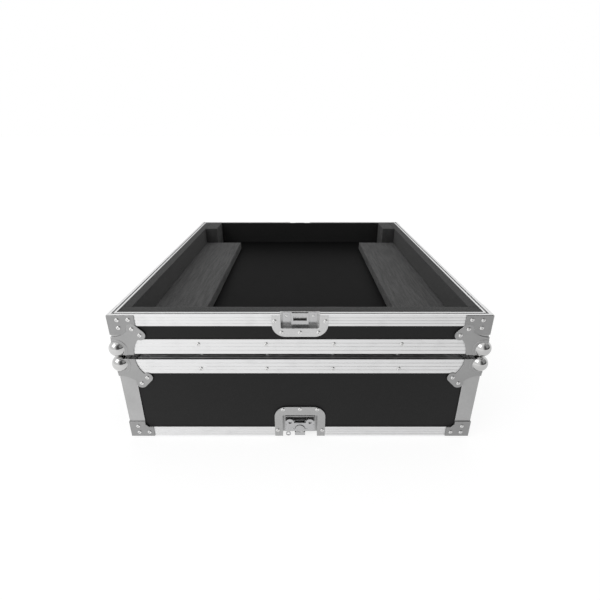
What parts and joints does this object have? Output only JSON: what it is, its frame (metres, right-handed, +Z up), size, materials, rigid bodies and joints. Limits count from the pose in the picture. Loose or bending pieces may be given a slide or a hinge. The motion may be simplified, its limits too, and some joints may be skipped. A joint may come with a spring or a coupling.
{
  "type": "flight case",
  "caption": "Black laminated flight case with aluminium edges and ball corners, its shallow foam-lined tray standing on the lift-off lid, butterfly latches and catches",
  "frame": {"origin": "on the ground under the middle of the case", "axes": "+X to the right along the front, +Y to the rear, +Z up; the front with the single catch and latch in the picture faces -Y"},
  "size_m": [0.6988, 0.7688, 0.2763],
  "materials": {
    "black_laminate": "black textured laminate on plywood",
    "aluminium_profile": "mill-bright extrusion with fine lines along it",
    "zinc_sheet": "dull zinc-plated sheet",
    "bright_steel": "bright nickel plating, lightly worn",
    "rivet_steel": "plated domed heads",
    "pressed_dish": "zinc-plated pressing",
    "plated_latch": "plated latch parts",
    "black_rubber": "moulded grip",
    "grey_foam": "open-cell foam, dark grey"
  },
  "bodies": {
    "lid": {"lid_back_panel": "black_laminate", "lid_ball_corners": "bright_steel", "lid_closing_rim": "aluminium_profile", "lid_corner_angles": "aluminium_profile", "lid_corner_braces": "zinc_sheet", "lid_front_panel": "black_laminate", "lid_left_panel": "black_laminate", "lid_right_panel": "black_laminate", "lid_rivets": "rivet_steel", "lid_top_edges": "aluminium_profile", "lid_top_pad": "grey_foam", "lid_top_panel": "black_laminate", "lid_wall_lining": "grey_foam", "latch_dishes": "pressed_dish", "latch_covers": "plated_latch", "handle_dish_left": "pressed_dish", "handle_dish_right": "pressed_dish", "handle_springs": "bright_steel"},
    "tray": {"tray_back_panel": "black_laminate", "tray_ball_corners": "bright_steel", "tray_bottom_edges": "aluminium_profile", "tray_closing_rim": "aluminium_profile", "tray_corner_angles": "aluminium_profile", "tray_corner_braces": "zinc_sheet", "tray_floor_panel": "black_laminate", "tray_front_lining": "grey_foam", "tray_front_panel": "black_laminate", "tray_left_lining": "grey_foam", "tray_left_panel": "black_laminate", "tray_left_rail": "grey_foam", "tray_rear_blocks": "grey_foam", "tray_rear_lining": "grey_foam", "tray_right_lining": "grey_foam", "tray_right_panel": "black_laminate", "tray_right_rail": "grey_foam", "tray_rivets": "rivet_steel", "catch_dishes": "pressed_dish", "strike_plates": "plated_latch"},
    "latch_rotor_front": {"latch_rotor_front": "plated_latch"},
    "latch_wing_front": {"latch_wing_front": "plated_latch"},
    "latch_hook_front": {"latch_hook_front": "plated_latch"},
    "latch_rotor_back": {"latch_rotor_back": "plated_latch"},
    "latch_wing_back": {"latch_wing_back": "plated_latch"},
    "latch_hook_back": {"latch_hook_back": "plated_latch"},
    "handle_left": {"handle_bail_left": "bright_steel", "handle_grip_left": "black_rubber"},
    "handle_right": {"handle_bail_right": "bright_steel", "handle_grip_right": "black_rubber"}
  },
  "joints": [
    {"name": "tray_lift", "type": "slide", "parent": "lid", "child": "tray", "axis": [0, 0, 1], "range_m": [0, 0.25]},
    {"name": "latch_turn_front", "type": "hinge", "parent": "lid", "child": "latch_rotor_front", "pos_m": [0, -0.3735, 0.0205], "axis": [0, -1, 0], "range_deg": [0, 180]},
    {"name": "wing_fold_front", "type": "hinge", "parent": "latch_rotor_front", "child": "latch_wing_front", "pos_m": [0, -0.3711, 0.0205], "axis": [1, 0, 0], "range_deg": [0, 90]},
    {"name": "hook_slide_front", "type": "slide", "parent": "lid", "child": "latch_hook_front", "axis": [0, 0, -1], "range_m": [0, 0.01]},
    {"name": "latch_turn_back", "type": "hinge", "parent": "lid", "child": "latch_rotor_back", "pos_m": [0, 0.3735, 0.0205], "axis": [0, 1, 0], "range_deg": [0, 180]},
    {"name": "wing_fold_back", "type": "hinge", "parent": "latch_rotor_back", "child": "latch_wing_back", "pos_m": [0, 0.3711, 0.0205], "axis": [-1, 0, 0], "range_deg": [0, 90]},
    {"name": "hook_slide_back", "type": "slide", "parent": "lid", "child": "latch_hook_back", "axis": [0, 0, -1], "range_m": [0, 0.01]},
    {"name": "handle_swing_left", "type": "hinge", "parent": "lid", "child": "handle_left", "pos_m": [-0.3314, 0, 0.117], "axis": [0, 1, 0], "range_deg": [0, 90], "stiffness_Nm_per_rad": 0.05},
    {"name": "handle_swing_right", "type": "hinge", "parent": "lid", "child": "handle_right", "pos_m": [0.3314, 0, 0.117], "axis": [0, -1, 0], "range_deg": [0, 90], "stiffness_Nm_per_rad": 0.05}
  ],
  "couplings": [
    {"joint": "hook_slide_front", "follows": "latch_turn_front", "m_per_rad": 0.003183},
    {"joint": "hook_slide_back", "follows": "latch_turn_back", "m_per_rad": 0.003183}
  ]
}
